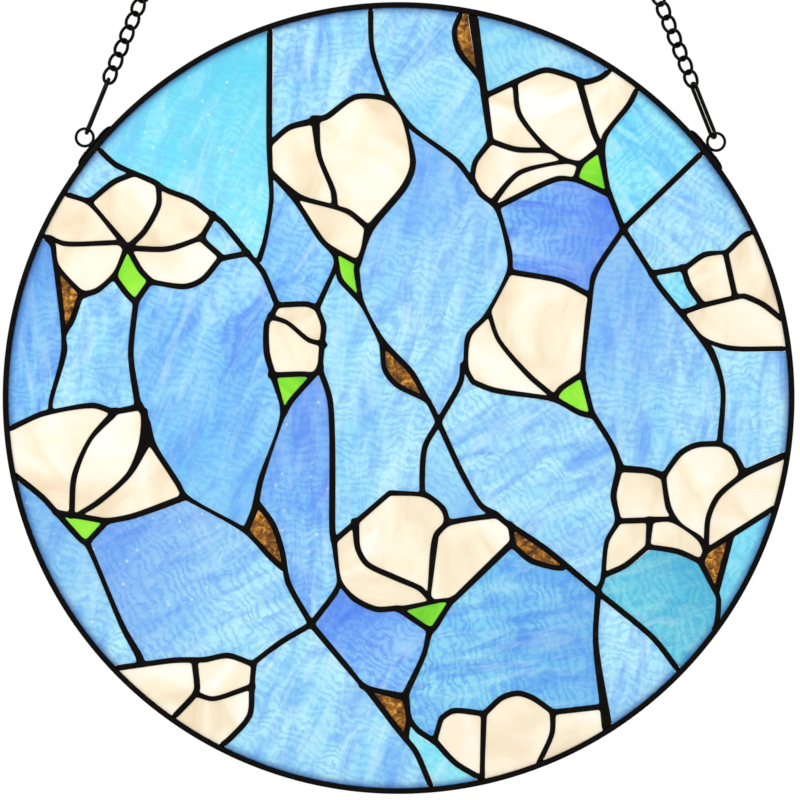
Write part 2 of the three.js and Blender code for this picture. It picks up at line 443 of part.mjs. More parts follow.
// A link lies in x and z with a saddle twist in y, so that it threads the next one
function linkPoints(length, width, wire, steps) {
  return Array.from({ length: steps }, (_, i) => {
    const turn = (2 * Math.PI * (i + 0.5)) / steps;
    return new THREE.Vector3(
      ((width - wire) / 2) * Math.cos(turn),
      -LINK_TWIST * Math.sin(2 * turn),
      ((length - wire) / 2) * Math.sin(turn),
    );
  });
}

// A long narrow loop, wider at its foot, in x and z
function loopPoints() {
  const half = (LOOP_LENGTH - LOOP_WIRE) / 2;
  const foot = (LOOP_FOOT_WIDTH - LOOP_WIRE) / 2;
  const head = (LOOP_HEAD_WIDTH - LOOP_WIRE) / 2;
  const end = (radius, centre, from) => [0, 1, 2, 3, 4].map((i) => {
    const turn = from + (Math.PI * i) / 4;
    return new THREE.Vector3(radius * Math.cos(turn), 0, centre + radius * Math.sin(turn));
  });
  return [...end(head, half - head, 0), ...end(foot, foot - half, Math.PI)];
}

// Hardware, placed by its distance up each chain's line from the ring's centre
const ringRadius = (RING_OUTER - RING_WIRE) / 2;
const ringReach = panelRadius + CLEARANCE + STRIP_UNDER_RING + CLEARANCE + RING_OUTER / 2;
const loopFoot = ringRadius - (RING_WIRE + LOOP_WIRE) / 2 - 2 * CLEARANCE;
const loopHead = loopFoot + LOOP_LENGTH - LOOP_WIRE;
const firstLink = loopHead - (LOOP_WIRE + LINK_WIRE) / 2 - 2 * CLEARANCE + (LINK_LENGTH - LINK_WIRE) / 2;
const pitch = LINK_LENGTH - 2 * LINK_WIRE + LINK_CONTACT;
const lastTop = firstLink + (LINKS - 1) * pitch + (LINK_LENGTH - LINK_WIRE) / 2;
const endLink = lastTop - LINK_WIRE - CLEARANCE * 2 + (END_LINK_LENGTH - LINK_WIRE) / 2;

const radians = THREE.MathUtils.degToRad;
const hangingHeights = [];

for (const [side, { sign, ringAngle, lean, loopTurn }] of Object.entries(SIDES)) {
  const outward = new THREE.Vector3(sign * Math.sin(radians(ringAngle)), 0, Math.cos(radians(ringAngle)));
  const ringCentre = outward.clone().multiplyScalar(ringReach);
  const line = new THREE.Group();
  line.position.copy(ringCentre);
  line.rotation.y = -sign * radians(lean);
  panel.add(line);

  // Strip: bent round the rim, with a notch for the ring
  const innerR = panelRadius + CLEARANCE;
  const outerR = innerR + STRIP_THICKNESS;
  const span = STRIP_LENGTH / panelRadius / 2;
  const arc = (radius) => [-1, -0.5, 0, 0.5, 1].map((k) => {
    const turn = Math.PI / 2 - sign * radians(ringAngle) + k * span;
    return new THREE.Vector2(radius * Math.cos(turn), radius * Math.sin(turn));
  });
  const bar = plate([...arc(innerR), ...arc(outerR).reverse()], STRIP_WIDTH);
  const notch = new THREE.BoxGeometry(RING_OUTER, 2 * STRIP_THICKNESS, RING_WIRE + 2 * CLEARANCE);
  notch.translate(0, innerR + STRIP_UNDER_RING + STRIP_THICKNESS, 0);
  notch.rotateZ(-sign * radians(ringAngle));
  addPart(upright, `solder_strip_${side}`, toGeometry(bar.subtract(toManifold(notch))), METAL);

  const ring = wireLoop(Array.from({ length: 16 }, (_, i) => {
    const turn = (2 * Math.PI * i) / 16;
    return new THREE.Vector3(ringRadius * Math.cos(turn), 0, ringRadius * Math.sin(turn));
  }), RING_WIRE);
  addPart(line, `hanging_ring_${side}`, toGeometry(ring), METAL);

  const loop = addPart(line, `wire_loop_${side}`, toGeometry(wireLoop(loopPoints(), LOOP_WIRE)), METAL);
  loop.position.z = (loopFoot + loopHead) / 2;
  loop.rotation.z = radians(loopTurn);

  const links = Array.from({ length: LINKS }, (_, i) => (
    wireLoop(linkPoints(LINK_LENGTH, LINK_WIDTH, LINK_WIRE, LINK_STEPS), LINK_WIRE)
      .translate([0, 0, firstLink + i * pitch])
  ));
  addPart(line, `chain_${side}`, toGeometry(Manifold.union(links)), METAL);

  const end = addPart(line, `end_link_${side}`,
    toGeometry(wireLoop(linkPoints(END_LINK_LENGTH, END_LINK_WIDTH, LINK_WIRE, LINK_STEPS + 2), LINK_WIRE)), METAL);
  end.position.z = endLink;
  const hangAt = endLink + END_LINK_LENGTH / 2 - LINK_WIRE;
  hangingHeights.push(ringCentre.z + hangAt * Math.cos(radians(lean)));
}

// The origin is midway between the two places where the hooks bear
const hungWindow = new THREE.Group();
panel.position.z = -(hangingHeights[0] + hangingHeights[1]) / 2;
hungWindow.add(panel);

export default hungWindow;
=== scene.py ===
# A round stained glass window on two chains: smooth foiled panes, rounded solder beads, came, rings and chain
import math
import random

import bmesh
import bpy
from mathutils import Matrix, Vector, geometry


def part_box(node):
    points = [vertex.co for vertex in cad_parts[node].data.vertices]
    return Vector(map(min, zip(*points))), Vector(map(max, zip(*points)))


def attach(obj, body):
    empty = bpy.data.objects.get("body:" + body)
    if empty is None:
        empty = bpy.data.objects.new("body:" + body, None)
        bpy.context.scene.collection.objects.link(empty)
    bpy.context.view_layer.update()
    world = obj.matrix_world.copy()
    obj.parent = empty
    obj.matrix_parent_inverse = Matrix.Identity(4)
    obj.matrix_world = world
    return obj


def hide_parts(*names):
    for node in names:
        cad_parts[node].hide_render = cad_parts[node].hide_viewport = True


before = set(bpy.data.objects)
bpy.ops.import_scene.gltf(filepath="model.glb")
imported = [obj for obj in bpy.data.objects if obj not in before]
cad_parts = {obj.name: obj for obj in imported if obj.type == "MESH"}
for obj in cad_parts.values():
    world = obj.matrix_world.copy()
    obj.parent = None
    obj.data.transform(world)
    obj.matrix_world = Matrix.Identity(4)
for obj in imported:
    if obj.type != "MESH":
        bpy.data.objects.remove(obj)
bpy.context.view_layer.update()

# The drawing of the panel is in steps of UNIT metres, x right and y down
PANEL_RADIUS = 0.254
DRAWN_RADIUS = 395.6
DRAWN_MIDDLE = (398.6, 398)
UNIT = PANEL_RADIUS / DRAWN_RADIUS
CENTRE_Z = (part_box("border_came")[0][2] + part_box("border_came")[1][2]) / 2
CENTRE = Vector((0, CENTRE_Z))

# Half the thickness of the glass and of the solder, and the radii at which the solder and the glass end
GLASS_HALF = 0.0015
SOLDER_HALF = 0.0024
TRIM_RADIUS = 0.2505
GLASS_RADIUS = 0.2527

# Room between a pane and the solder round it
PANE_GAP = 0.00003

# How outlines are smoothed: how far an edge bows towards the full curve through its corners, from 0 to 1, the
# shortest edge kept, the length of the new edges, the turn that counts as a sharp corner, and rounds of averaging
BOW = 0.85
SHORT_EDGE = 0.0006
EDGE_STEP = 0.0008
SHARP = math.radians(38)
ROUNDS = 4

# How far a point may lie off a line and be left out of it, for the solder and for the panes
SOLDER_OFF = 0.00004
PANE_OFF = 0.00005

# Corners this near are one, a face this near the front's level lies on it, a point this near the trim is on the
# rim, a cell smaller than this area is no pane, and the rim's arcs are drawn in turns of about this angle
SAME_CORNER = 0.00003
SAME_LEVEL = 0.0001
RIM_BAND = 0.0004
SMALLEST_CELL = 0.00002
RIM_TURN = math.radians(1.5)


def drawn(x, y):
    """A point of the drawing, in x and z."""
    return ((x - DRAWN_MIDDLE[0]) * UNIT, CENTRE_Z + (DRAWN_MIDDLE[1] - y) * UNIT)


# Camera and light
def aim(obj, at, target):
    obj.location = at
    obj.rotation_euler = (Vector(target) - Vector(at)).to_track_quat("-Z", "Y").to_euler()


camera_data = bpy.data.cameras.new("camera")
camera_data.lens = 135
camera_data.sensor_width = 36
camera_data.clip_end = 50
camera = bpy.data.objects.new("camera", camera_data)
bpy.context.scene.collection.objects.link(camera)
LOOKED_AT = (0.0009, 0, CENTRE_Z - 0.00128)
DISTANCE = 1.9264
aim(camera, (LOOKED_AT[0], -DISTANCE, LOOKED_AT[2]), LOOKED_AT)
bpy.context.scene.camera = camera


def area_light(name, at, target, size, power, colour=(1, 1, 1)):
    data = bpy.data.lights.new(name, "AREA")
    data.size = size
    data.energy = power
    data.color = colour
    light = bpy.data.objects.new(name, data)
    bpy.context.scene.collection.objects.link(light)
    aim(light, at, target)


LIT = (0, 0, -0.28)
area_light("key", (-0.9, -1.3, 0.75), LIT, 0.5, 7, (1, 0.98, 0.95))
area_light("fill", (1.2, -1.6, -0.2), LIT, 1.2, 1, (0.95, 0.97, 1))
area_light("behind", (0.1, 1.3, -0.1), LIT, 1.4, 4)

world = bpy.data.worlds.new("studio")
bpy.context.scene.world = world
world.use_nodes = True
world.node_tree.nodes["Background"].inputs["Color"].default_value = (1, 1, 1, 1)
bpy.context.scene.view_settings.view_transform = "Standard"


# Materials
def srgb(r, g, b):
    """A linear colour from 0 to 255 values."""
    def linear(v):
        return v / 12.92 if v <= 0.04045 else ((v + 0.055) / 1.055) ** 2.4

    return (linear(r / 255), linear(g / 255), linear(b / 255), 1)


def grey(v):
    return (v, v, v, 1)


BLACK, WHITE = grey(0), grey(1)


def new_material(name):
    material = bpy.data.materials.new(name)
    material.use_nodes = True
    nodes, links = material.node_tree.nodes, material.node_tree.links
    shader = nodes["Principled BSDF"]
    return material, nodes, links, shader


def turned(nodes, links, angle, scale, offset):
    """Object coordinates turned by angle in the panel's plane, then scaled along and across that direction."""
    coords = nodes.new("ShaderNodeTexCoord")
    turn = nodes.new("ShaderNodeMapping")
    turn.inputs["Rotation"].default_value = (0, math.radians(angle), 0)
    stretch = nodes.new("ShaderNodeMapping")
    stretch.inputs["Scale"].default_value = scale
    stretch.inputs["Location"].default_value = offset
    links.new(coords.outputs["Object"], turn.inputs["Vector"])
    links.new(turn.outputs["Vector"], stretch.inputs["Vector"])
    return stretch.outputs["Vector"]


def unscaled(nodes, links, angle=0, offset=(0, 0, 0)):
    return turned(nodes, links, angle, (1, 1, 1), offset)


def noise(nodes, links, vector, scale, detail, roughness=0.5, distortion=0.0):
    node = nodes.new("ShaderNodeTexNoise")
    node.inputs["Scale"].default_value = scale
    node.inputs["Detail"].default_value = detail
    node.inputs["Roughness"].default_value = roughness
    node.inputs["Distortion"].default_value = distortion
    links.new(vector, node.inputs["Vector"])
    return node.outputs["Fac"]


def ramp(nodes, links, factor, stops):
    node = nodes.new("ShaderNodeValToRGB")
    elements = node.color_ramp.elements
    while len(elements) < len(stops):
        elements.new(0.5)
    for element, (place, colour) in zip(elements, stops):
        element.position = place
        element.color = colour
    links.new(factor, node.inputs["Fac"])
    return node.outputs["Color"]


def mixed(nodes, links, factor, a, b, kind="MIX"):
    """Colours a and b mixed by factor. Sockets 6 and 7 are the node's two colours, and output 2 its colour."""
    node = nodes.new("ShaderNodeMix")
    node.data_type = "RGBA"
    node.blend_type = kind
    if isinstance(factor, float):
        node.inputs["Factor"].default_value = factor
    else:
        links.new(factor, node.inputs["Factor"])
    for socket, value in ((node.inputs[6], a), (node.inputs[7], b)):
        if isinstance(value, tuple):
            socket.default_value = value
        else:
            links.new(value, socket)
    return node.outputs[2]


def bumped(nodes, links, shader, height, strength, distance):
    node = nodes.new("ShaderNodeBump")
    node.inputs["Strength"].default_value = strength
    node.inputs["Distance"].default_value = distance
    links.new(height, node.inputs["Height"])
    links.new(node.outputs["Normal"], shader.inputs["Normal"])


def art_glass(shader, transmission, roughness):
    shader.inputs["Roughness"].default_value = roughness
    shader.inputs["IOR"].default_value = 1.5
    shader.inputs["Transmission Weight"].default_value = transmission


# The shade of the came on the glass starts at this radius
SHADE_RADIUS = 0.2455


def sky_glass(name, seed, angle, light, middle, deep, streaks, seeds, ripples, fade):
    """Streaky glass: soft wisps of deeper and paler blue along one direction, crossed by fine wavy ripples."""
    material, nodes, links, shader = new_material(name)
    offset = (seed * 1.37, seed * 0.71, seed * 2.13)
    broad = noise(nodes, links, turned(nodes, links, angle, (16, 16, 30), offset), 1.0, 4, 0.55, 0.9)
    wisp = noise(nodes, links, turned(nodes, links, angle, (22, 40, 70), offset), 1.0, 7, 0.64, 0.9)
    pale = noise(nodes, links, turned(nodes, links, angle + 8, (26, 60, 110), offset[::-1]), 1.0, 6, 0.62, 1.1)
    wave = nodes.new("ShaderNodeTexWave")
    wave.bands_direction = "Z"
    wave.inputs["Scale"].default_value = 58
    wave.inputs["Distortion"].default_value = 17
    wave.inputs["Detail"].default_value = 4
    wave.inputs["Detail Scale"].default_value = 0.95
    wave.inputs["Detail Roughness"].default_value = 0.6
    links.new(unscaled(nodes, links, angle + 98, offset), wave.inputs["Vector"])
    ripple = wave.outputs["Fac"]
    colour = ramp(nodes, links, broad, [(0.34, middle), (0.64, light)])
    dark = ramp(nodes, links, wisp, [(0.46, BLACK), (0.7, grey(0.95 * min(1, streaks)))])
    colour = mixed(nodes, links, dark, colour, deep)
    bright = ramp(nodes, links, pale, [(0.5, BLACK), (0.76, grey(0.6))])
    colour = mixed(nodes, links, bright, colour, srgb(214, 246, 255))
    patchy = ramp(nodes, links, pale, [(0.35, grey(0.56 + 0.25 * ripples)), (0.62, grey(0.16))])
    lines = ramp(nodes, links, ripple, [(0.3, BLACK), (0.95, WHITE)])
    lines = mixed(nodes, links, 1.0, lines, patchy, "MULTIPLY")
    colour = mixed(nodes, links, lines, colour, deep)
    if fade:
        (from_x, from_z), (to_x, to_z) = drawn(*fade[0]), drawn(*fade[1])
        run = Vector((to_x - from_x, 0, to_z - from_z))
        along = nodes.new("ShaderNodeVectorMath")
        along.operation = "DOT_PRODUCT"
        along.inputs[1].default_value = run / run.length_squared
        shift = nodes.new("ShaderNodeVectorMath")
        shift.operation = "SUBTRACT"
        shift.inputs[1].default_value = (from_x, 0, from_z)
        links.new(unscaled(nodes, links), shift.inputs[0])
        links.new(shift.outputs["Vector"], along.inputs[0])
        reach = ramp(nodes, links, along.outputs["Value"], [(0.0, grey(0.55)), (1.0, BLACK)])
        colour = mixed(nodes, links, reach, colour, fade[2])
    from_middle = nodes.new("ShaderNodeVectorMath")
    from_middle.operation = "DISTANCE"
    from_middle.inputs[1].default_value = (0, 0, CENTRE_Z)
    links.new(unscaled(nodes, links), from_middle.inputs[0])
    rim_shade = ramp(nodes, links, from_middle.outputs["Value"],
                     [(SHADE_RADIUS, BLACK), (TRIM_RADIUS, grey(0.85))])
    colour = mixed(nodes, links, rim_shade, colour, srgb(24, 96, 176))
    if seeds:
        spots = nodes.new("ShaderNodeTexVoronoi")
        spots.inputs["Scale"].default_value = 110
        links.new(unscaled(nodes, links, angle, offset), spots.inputs["Vector"])
        dots = ramp(nodes, links, spots.outputs["Distance"], [(0.07, grey(seeds)), (0.15, BLACK)])
        colour = mixed(nodes, links, dots, colour, srgb(226, 244, 252))
    links.new(colour, shader.inputs["Base Color"])
    bumped(nodes, links, shader, ripple, 0.25 + ripples / 2, 0.0008)
    art_glass(shader, 0.15, 0.12)
    return material


def petal_glass(name, seed, white):
    """Opalescent cream with soft white clouds and warm patches."""
    material, nodes, links, shader = new_material(name)
    offset = (seed * 0.91, seed * 1.3, seed * 0.57)
    cloud = turned(nodes, links, seed * 47, (18, 18, 34), offset)
    soft = noise(nodes, links, cloud, 1.0, 4, 0.5, 0.9)
    warm = noise(nodes, links, turned(nodes, links, seed * 31, (11, 11, 15), offset), 1.0, 2, 0.5, 0.3)
    base = ramp(nodes, links, soft, [(0.3, srgb(238, 218, 184)), (0.5, srgb(251, 240, 214)),
                                     (0.56 + 0.26 * (1 - white), srgb(255, 254, 246))])
    tint = ramp(nodes, links, warm, [(0.5, BLACK), (0.8, grey(0.55 * (1 - white)))])
    links.new(mixed(nodes, links, tint, base, srgb(252, 220, 190)), shader.inputs["Base Color"])
    bumped(nodes, links, shader, noise(nodes, links, unscaled(nodes, links, 0, offset), 60, 2), 0.2, 0.001)
    art_glass(shader, 0.08, 0.16)
    return material


def calyx_glass(name, seed):
    """Vivid lime with a slow change of depth."""
    material, nodes, links, shader = new_material(name)
    offset = (seed, seed * 0.4, seed * 0.8)
    soft = noise(nodes, links, turned(nodes, links, seed * 63, (16, 16, 40), offset), 1.0, 4, 0.5, 0.8)
    lime = ramp(nodes, links, soft, [(0.3, srgb(104, 210, 6)), (0.5, srgb(140, 238, 24)),
                                     (0.72, srgb(172, 250, 70))])
    links.new(lime, shader.inputs["Base Color"])
    bumped(nodes, links, shader, noise(nodes, links, unscaled(nodes, links, 0, offset), 70, 2), 0.25, 0.001)
    art_glass(shader, 0.15, 0.12)
    return material


def leaf_glass(name, seed):
    """Hammered amber: small dimples over a mottled brown."""
    material, nodes, links, shader = new_material(name)
    offset = (seed * 0.3, seed, seed * 0.6)
    place = unscaled(nodes, links, seed * 29, offset)
    cells = nodes.new("ShaderNodeTexVoronoi")
    cells.feature = "SMOOTH_F1"
    cells.inputs["Scale"].default_value = 260
    links.new(place, cells.inputs["Vector"])
    mottle = noise(nodes, links, place, 240, 5, 0.65, 0.8)
    base = ramp(nodes, links, mottle, [(0.36, srgb(58, 28, 0)), (0.47, srgb(112, 64, 4)),
                                       (0.56, srgb(158, 100, 14)), (0.66, srgb(224, 168, 72))])
    dimple = ramp(nodes, links, cells.outputs["Distance"], [(0.08, grey(0.3)), (0.4, BLACK)])
    links.new(mixed(nodes, links, dimple, base, srgb(196, 134, 40)), shader.inputs["Base Color"])
    bumped(nodes, links, shader, cells.outputs["Distance"], 0.7, 0.002)
    art_glass(shader, 0.0, 0.28)
    shader.inputs["Specular IOR Level"].default_value = 0.25
    return material


def black_metal(name, roughness, lumps, shine=(34, 29, 26)):
    """Black patina over solder or iron, with worn lighter patches."""
    material, nodes, links, shader = new_material(name)
    place = unscaled(nodes, links)
    worn = noise(nodes, links, place, 160, 6, 0.6, 0.4)
    colour = ramp(nodes, links, worn, [(0.4, srgb(4, 3, 2)), (0.6, srgb(8, 6, 5)), (0.8, srgb(*shine))])
    links.new(colour, shader.inputs["Base Color"])
    gloss = ramp(nodes, links, worn, [(0.3, grey(roughness)), (0.8, grey(roughness * 0.7))])
    links.new(gloss, shader.inputs["Roughness"])
    bumped(nodes, links, shader, noise(nodes, links, place, 420, 3), lumps, 0.0006)
    shader.inputs["Specular IOR Level"].default_value = 0.06
    return material


SOLDER = black_metal("black_solder", 0.42, 0.45)
CAME = black_metal("black_came", 0.5, 0.2)
IRON = black_metal("black_iron", 0.48, 0.25, (64, 56, 50))


# Pieces
def add_piece(name, mesh, material, nodes, smooth=True):
    obj = bpy.data.objects.new(name, mesh)
    bpy.context.scene.collection.objects.link(obj)
    mesh.materials.clear()
    mesh.materials.append(material)
    for face in mesh.polygons:
        face.use_smooth = smooth
    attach(obj, "root")
    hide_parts(*nodes)


# Outlines of the solder, from its front face
def boundary_loops(name, level):
    """The outlines of a node's front face, each as points in x and z with the solid on their left."""
    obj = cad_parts[name]
    work = bmesh.new()
    work.from_mesh(obj.data)
    work.transform(obj.matrix_world)
    bmesh.ops.remove_doubles(work, verts=work.verts, dist=SAME_CORNER)
    edges = set()
    for face in work.faces:
        if all(abs(v.co.y + level) < SAME_LEVEL for v in face.verts):
            corners = [v.index for v in face.verts]
            edges.update(zip(corners, corners[1:] + corners[:1]))
    places = {v.index: Vector((v.co.x, v.co.z)) for v in work.verts}
    work.free()
    following = {}
    for a, b in edges:
        if (b, a) not in edges:
            following.setdefault(a, []).append(b)
    loops = []
    while following:
        start = at = next(iter(following))
        loop, before = [start], None
        while at in following:
            options = following[at]
            if before is not None and len(options) > 1:
                heading = places[at] - places[before]
                options.sort(key=lambda b: heading.angle_signed(places[b] - places[at], 0))
            step = options.pop()
            if not options:
                del following[at]
            before, at = at, step
            if at in loop:
                ring = loop[loop.index(at):]
                if len(ring) > 2:
                    loops.append([places[i] for i in ring])
                loop = loop[:loop.index(at) + 1]
            else:
                loop.append(at)
    return loops


def signed_area(loop):
    return sum(a.x * b.y - b.x * a.y for a, b in zip(loop, loop[1:] + loop[:1])) / 2


def curve_through(points):
    """A centripetal curve through an open run of points, in steps of about EDGE_STEP."""
    if len(points) < 3:
        a, b = points[0], points[-1]
        count = max(1, int((b - a).length / EDGE_STEP))
        return [a.lerp(b, i / count) for i in range(count)] + [b]
    ends = [points[0] * 2 - points[1]] + points + [points[-1] * 2 - points[-2]]
    least = 1e-7
    out = []
    for p0, p1, p2, p3 in zip(ends, ends[1:], ends[2:], ends[3:]):
        t0 = 0.0
        t1 = t0 + max((p1 - p0).length, least) ** 0.5
        t2 = t1 + max((p2 - p1).length, least) ** 0.5
        t3 = t2 + max((p3 - p2).length, least) ** 0.5
        count = max(1, int((p2 - p1).length / EDGE_STEP))
        for i in range(count):
            t = t1 + (t2 - t1) * i / count
            a1 = p0 * ((t1 - t) / (t1 - t0)) + p1 * ((t - t0) / (t1 - t0))
            a2 = p1 * ((t2 - t) / (t2 - t1)) + p2 * ((t - t1) / (t2 - t1))
            a3 = p2 * ((t3 - t) / (t3 - t2)) + p3 * ((t - t2) / (t3 - t2))
            b1 = a1 * ((t2 - t) / (t2 - t0)) + a2 * ((t - t0) / (t2 - t0))
            b2 = a2 * ((t3 - t) / (t3 - t1)) + a3 * ((t - t1) / (t3 - t1))
            bowed = b1 * ((t2 - t) / (t2 - t1)) + b2 * ((t - t1) / (t2 - t1))
            out.append(p1.lerp(p2, i / count).lerp(bowed, BOW))
    return out + [points[-1]]


def without_short_edges(loop):
    kept = [loop[0]]
    for p in loop[1:]:
        if (p - kept[-1]).length > SHORT_EDGE:
            kept.append(p)
    while len(kept) > 3 and (kept[-1] - kept[0]).length <= SHORT_EDGE:
        kept.pop()
    return kept


def smoothed(loop):
    """The loop with its facets turned into curves between its sharp corners, which are then eased a little."""
    loop = without_short_edges(loop)
    count = len(loop)
    corners = []
    for i in range(count):
        before, after = loop[i] - loop[i - 1], loop[(i + 1) % count] - loop[i]
        if before.angle(after, 0) > SHARP:
            corners.append(i)
    if not corners:
        corners = [0]
    out = []
    for a, b in zip(corners, corners[1:] + [corners[0] + count]):
        run = [loop[i % count] for i in range(a, b + 1)]
        out += curve_through(run)[:-1]
    for _ in range(ROUNDS):
        out = [(out[i - 1] + out[i] * 2 + out[(i + 1) % len(out)]) / 4 for i in range(len(out))]
    return out


def thinned(loop, off):
    """Leaves out the points that lie within off of the line between those kept."""
    half = len(loop) // 2

    def keep(first, last):
        a, b = loop[first], loop[last % len(loop)]
        along = b - a
        far, at = 0, None
        for i in range(first + 1, last):
            p = loop[i] - a
            gap = abs(along.x * p.y - along.y * p.x) / max(along.length, 1e-9)
            if gap > far:
                far, at = gap, i
        if at is None or far < off:
            return [first]
        return keep(first, at) + keep(at, last)

    return [loop[i] for i in keep(0, half) + keep(half, len(loop))]


def inset(loop, by):
    """The loop moved to its left by that much, which is inwards for one that runs anticlockwise."""
    out = []
    for i, p in enumerate(loop):
        along = (loop[(i + 1) % len(loop)] - loop[i - 1]).normalized()
        out.append(p + Vector((-along.y, along.x)) * by)
    return out


front = boundary_loops("solder_network", SOLDER_HALF)
front.sort(key=lambda loop: -abs(signed_area(loop)))
outer, holes = front[0], [loop for loop in front[1:] if abs(signed_area(loop)) > SMALLEST_CELL]
if signed_area(outer) < 0:
    outer.reverse()


def rim_cells(loop):
    """The cells between the outer loop of the solder and the rim of the glass."""
    on_rim = [(p - CENTRE).length > TRIM_RADIUS - RIM_BAND for p in loop]
    start = next(i for i in range(len(loop)) if on_rim[i] and not on_rim[(i + 1) % len(loop)])
    order = [(start + k) % len(loop) for k in range(len(loop) + 1)]
    cells, run = [], None
    for i in order:
        if on_rim[i]:
            if run and len(run) > 1:
                cells.append(run + [loop[i]])
            run = [loop[i]]
        elif run is not None:
            run.append(loop[i])
    closed = []
    for run in cells:
        a, b = run[-1] - CENTRE, run[0] - CENTRE
        swing = a.angle_signed(b, 0)
        count = max(2, int(abs(swing) / RIM_TURN))
        arc = []
        for k in range(count + 1):
            turn = math.atan2(a.y, a.x) - swing * k / count
            arc.append(CENTRE + Vector((math.cos(turn), math.sin(turn))) * GLASS_RADIUS)
        closed.append(run + arc)
    return closed


cells = holes + rim_cells(outer)
for loop in cells:
    if signed_area(loop) < 0:
        loop.reverse()
cells = [loop for loop in cells if signed_area(loop) > SMALLEST_CELL]


# The solder: one filled outline with a rounded edge front and back
def solder_mesh():
    curve = bpy.data.curves.new("solder_outline", "CURVE")
    curve.dimensions = "2D"
    curve.fill_mode = "BOTH"
    curve.extrude = GLASS_HALF
    curve.bevel_depth = SOLDER_HALF - GLASS_HALF
    curve.bevel_resolution = 2
    curve.offset = -curve.bevel_depth
    for loop in [outer] + holes:
        points = thinned(smoothed(loop), SOLDER_OFF)
        spline = curve.splines.new("POLY")
        spline.points.add(len(points) - 1)
        for place, p in zip(spline.points, points):
            place.co = (p.x, p.y, 0, 1)
        spline.use_cyclic_u = True
    obj = bpy.data.objects.new("solder_outline", curve)
    bpy.context.scene.collection.objects.link(obj)
    obj.matrix_world = Matrix.Rotation(math.radians(90), 4, "X")
    bpy.context.view_layer.update()
    mesh = bpy.data.meshes.new_from_object(obj.evaluated_get(bpy.context.evaluated_depsgraph_get()))
    mesh.transform(obj.matrix_world)
    bpy.data.objects.remove(obj)
    return mesh


def pane_mesh(name, loop):
    """A closed slab of glass with that outline."""
    count = len(loop)
    verts = [(p.x, -GLASS_HALF, p.y) for p in loop] + [(p.x, GLASS_HALF, p.y) for p in loop]
    flat = geometry.tessellate_polygon([[Vector((p.x, p.y, 0)) for p in loop]])
    faces = []
    for a, b, c in flat:
        if signed_area([loop[a], loop[b], loop[c]]) < 0:
            a, c = c, a
        faces += [(a, b, c), (c + count, b + count, a + count)]
    faces += [(i, i + count, (i + 1) % count + count, (i + 1) % count) for i in range(count)]
    mesh = bpy.data.meshes.new(name)
    mesh.from_pydata(verts, [], faces)
    mesh.validate()
    return mesh


def inside(point, loop):
    found = False
    for a, b in zip(loop, loop[1:] + loop[:1]):
        if (a.y > point[1]) != (b.y > point[1]):
            if point[0] < a.x + (point[1] - a.y) * (b.x - a.x) / (b.y - a.y):
                found = not found
    return found


def cell_at(x, y):
    point = drawn(x, y)
    return min((loop for loop in cells if inside(point, loop)), key=signed_area)


CYAN = (srgb(186, 242, 252), srgb(146, 222, 250), srgb(100, 166, 245))
BLUE = (srgb(158, 226, 252), srgb(120, 200, 249), srgb(84, 144, 244))
DEEP = (srgb(146, 212, 252), srgb(110, 182, 248), srgb(66, 118, 240))
AQUA = (srgb(158, 244, 252), srgb(112, 230, 248), srgb(122, 200, 246))
TEAL = (srgb(136, 234, 242), srgb(98, 214, 236), srgb(44, 170, 222))
BRIGHT = (srgb(156, 242, 252), srgb(120, 228, 249), srgb(80, 184, 245))
LAKE = (srgb(158, 234, 248), srgb(118, 206, 246), srgb(72, 146, 240))

# The panes that change across: from a point of that colour to a point without it
FADES = {
    1: ((200, 60), (170, 180), srgb(70, 208, 240)), 3: ((470, 190), (400, 60), srgb(98, 206, 244)),
    4: ((480, 20), (590, 60), srgb(104, 206, 240)), 8: ((600, 230), (520, 210), srgb(66, 112, 238)),
    9: ((400, 170), (440, 300), srgb(98, 158, 246)), 12: ((30, 260), (30, 390), srgb(74, 140, 228)),
    14: ((160, 470), (200, 330), srgb(104, 190, 246)), 15: ((322, 400), (300, 560), srgb(84, 128, 238)),
    17: ((440, 510), (450, 440), srgb(116, 186, 244)), 19: ((610, 280), (690, 420), srgb(96, 156, 244)),
    22: ((700, 600), (780, 530), srgb(80, 200, 228)), 23: ((700, 570), (620, 640), srgb(46, 158, 206)),
    25: ((590, 600), (470, 640), srgb(66, 152, 236)), 26: ((350, 610), (390, 680), srgb(64, 124, 238)),
    28: ((110, 560), (240, 620), srgb(60, 112, 236)), 29: ((40, 500), (110, 640), srgb(74, 152, 234)),
}

